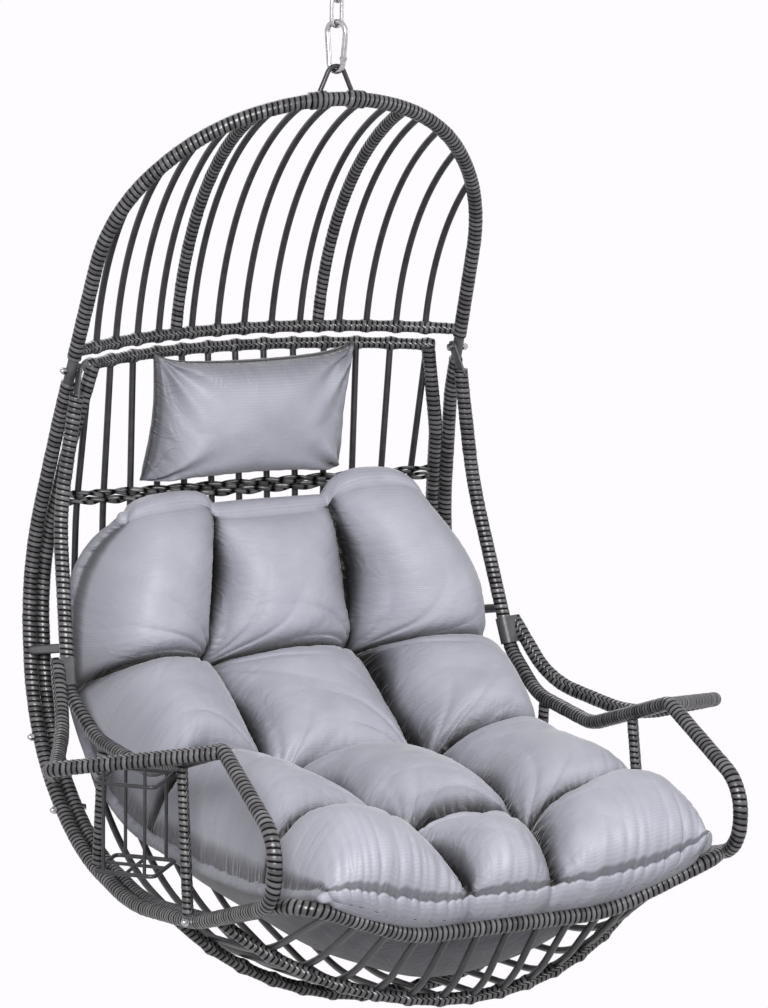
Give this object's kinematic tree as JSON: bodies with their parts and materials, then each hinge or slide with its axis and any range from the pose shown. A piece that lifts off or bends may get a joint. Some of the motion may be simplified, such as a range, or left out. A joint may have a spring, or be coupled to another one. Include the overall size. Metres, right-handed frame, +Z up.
{
  "type": "hanging egg chair",
  "caption": "Hanging swing chair: a wicker-wound tube basket with a ribbed hood, arm loops, a wire cup cage, a tufted cushion and a head pillow, hung by chain links and a snap hook.",
  "frame": {"origin": "inside top of the top chain link, where a ceiling hook or a stand holds it", "axes": "+X to the right seen from the front, +Y to the chair's back, +Z up"},
  "size_m": [1.0742, 0.9697, 1.4648],
  "materials": {
    "bright_zinc": "bright",
    "wicker_wound_tube": "satin flat strap wound on",
    "painted_steel": "satin",
    "wicker_binding": "satin",
    "grey_cloth": "ribbed weave"
  },
  "bodies": {
    "top_link": {"top_link": "bright_zinc"},
    "lower_link": {"lower_link": "bright_zinc"},
    "snap_hook": {"snap_hook": "bright_zinc"},
    "snap_gate": {"snap_gate": "bright_zinc", "gate_pin": "bright_zinc", "gate_spring": "bright_zinc"},
    "chair": {"hanger_loop": "painted_steel", "hood_arch": "wicker_wound_tube", "hood_crossbar": "wicker_wound_tube", "basket_bar": "wicker_wound_tube", "basket_rim": "wicker_wound_tube", "seat_cross_front": "wicker_wound_tube", "seat_cross_rear": "wicker_wound_tube", "hood_stay_left": "wicker_wound_tube", "hood_stay_right": "wicker_wound_tube", "side_frame_left": "wicker_wound_tube", "side_frame_right": "wicker_wound_tube", "arm_loop_left": "wicker_wound_tube", "arm_loop_right": "wicker_wound_tube", "arm_post_front_left": "wicker_wound_tube", "arm_post_front_right": "wicker_wound_tube", "arm_post_rear_left": "wicker_wound_tube", "arm_post_rear_right": "wicker_wound_tube", "hood_ribs": "painted_steel", "basket_ribs": "painted_steel", "cup_cage": "painted_steel", "side_brace_left": "painted_steel", "side_brace_right": "painted_steel", "hood_spigot_left": "painted_steel", "hood_spigot_right": "painted_steel", "arm_collar_left": "wicker_binding", "arm_collar_right": "wicker_binding", "back_weave_band": "wicker_binding", "hood_bolts": "bright_zinc", "hood_cap_nuts": "bright_zinc", "frame_bolts": "bright_zinc", "frame_cap_nuts": "bright_zinc", "seat_cushion": "grey_cloth", "head_pillow": "grey_cloth"}
  },
  "joints": [
    {"name": "chair_spin", "type": "hinge", "parent": "top_link", "child": "lower_link", "pos_m": [0, 0, -0.036], "axis": [0, 0, 1], "range_deg": [-25, 25]},
    {"name": "side_swing", "type": "hinge", "parent": "lower_link", "child": "snap_hook", "pos_m": [0, 0, -0.0674], "axis": [0.4695, -0.8829, 0], "range_deg": [-15, 15]},
    {"name": "fore_aft_swing", "type": "hinge", "parent": "snap_hook", "child": "chair", "pos_m": [0, 0, -0.1316], "axis": [1, 0, 0], "range_deg": [-20, 20]},
    {"name": "gate", "type": "hinge", "parent": "snap_hook", "child": "snap_gate", "pos_m": [0.00596, -0.0112, -0.1204], "axis": [-0.8829, -0.4695, 0], "range_deg": [0, 25], "stiffness_Nm_per_rad": 0.05, "springref_deg": -17.19}
  ]
}
